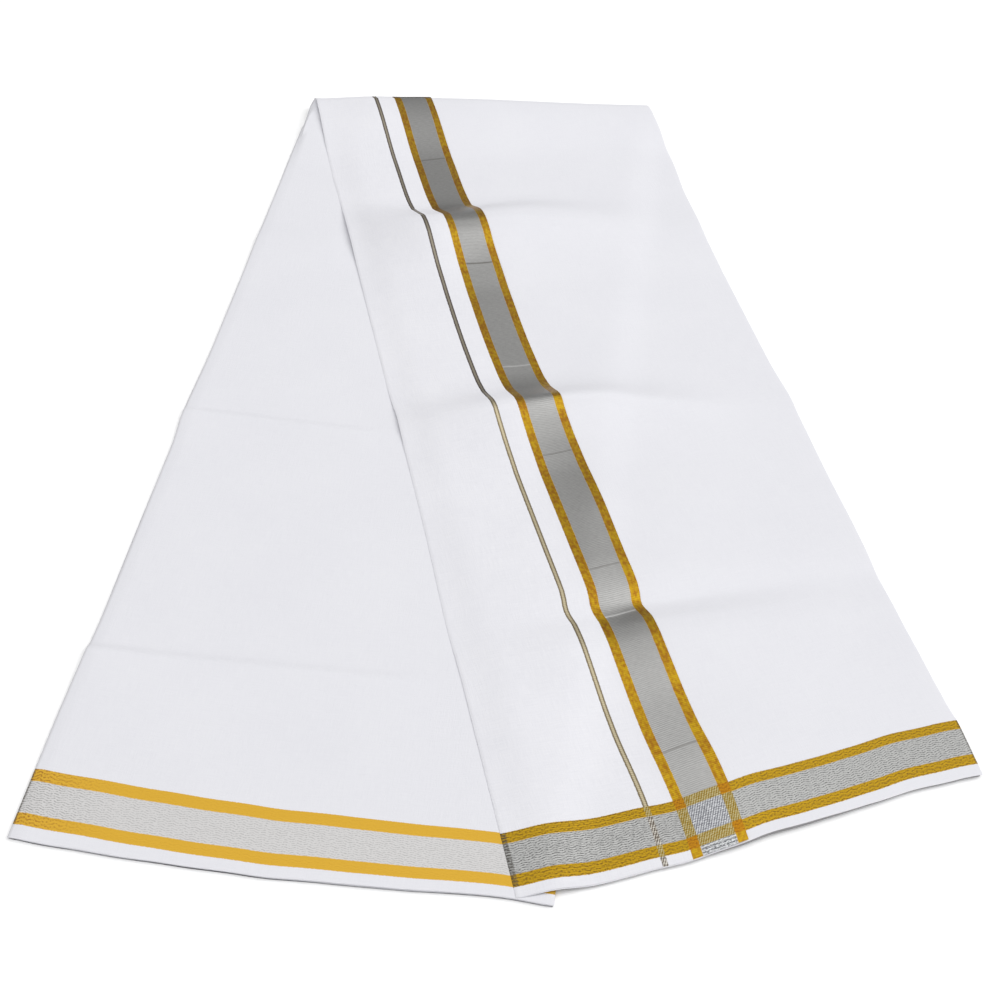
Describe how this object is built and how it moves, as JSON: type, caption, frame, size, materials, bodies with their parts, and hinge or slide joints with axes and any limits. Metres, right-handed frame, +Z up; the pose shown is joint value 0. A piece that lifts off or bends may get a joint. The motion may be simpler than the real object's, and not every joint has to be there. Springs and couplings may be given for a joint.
{
  "type": "dhoti cloth",
  "caption": "White cotton dhoti folded lengthwise into a flat layered strip and turned back on itself, stretches fanned out, with gold and silver bands woven along selvedge and hems.",
  "frame": {"origin": "centre of the bounding box's base, on the surface that the cloth lies on", "axes": "+Z up, +X along the turn towards its right end, -Y towards the hems"},
  "size_m": [0.5935, 0.9325, 0.0271],
  "materials": {
    "under_stretch": "fine plain-woven white cotton, matte, with a woven gold and silver cross border",
    "upper_stretch": "fine plain-woven white cotton, matte, with a woven gold and silver cross border",
    "turned_back_leaf": "fine plain-woven white cotton, matte, with gold and silver bands woven along its selvedge"
  },
  "bodies": {
    "root": {"under_stretch": "under_stretch", "upper_stretch": "upper_stretch", "turned_back_leaf": "turned_back_leaf"}
  },
  "joints": []
}
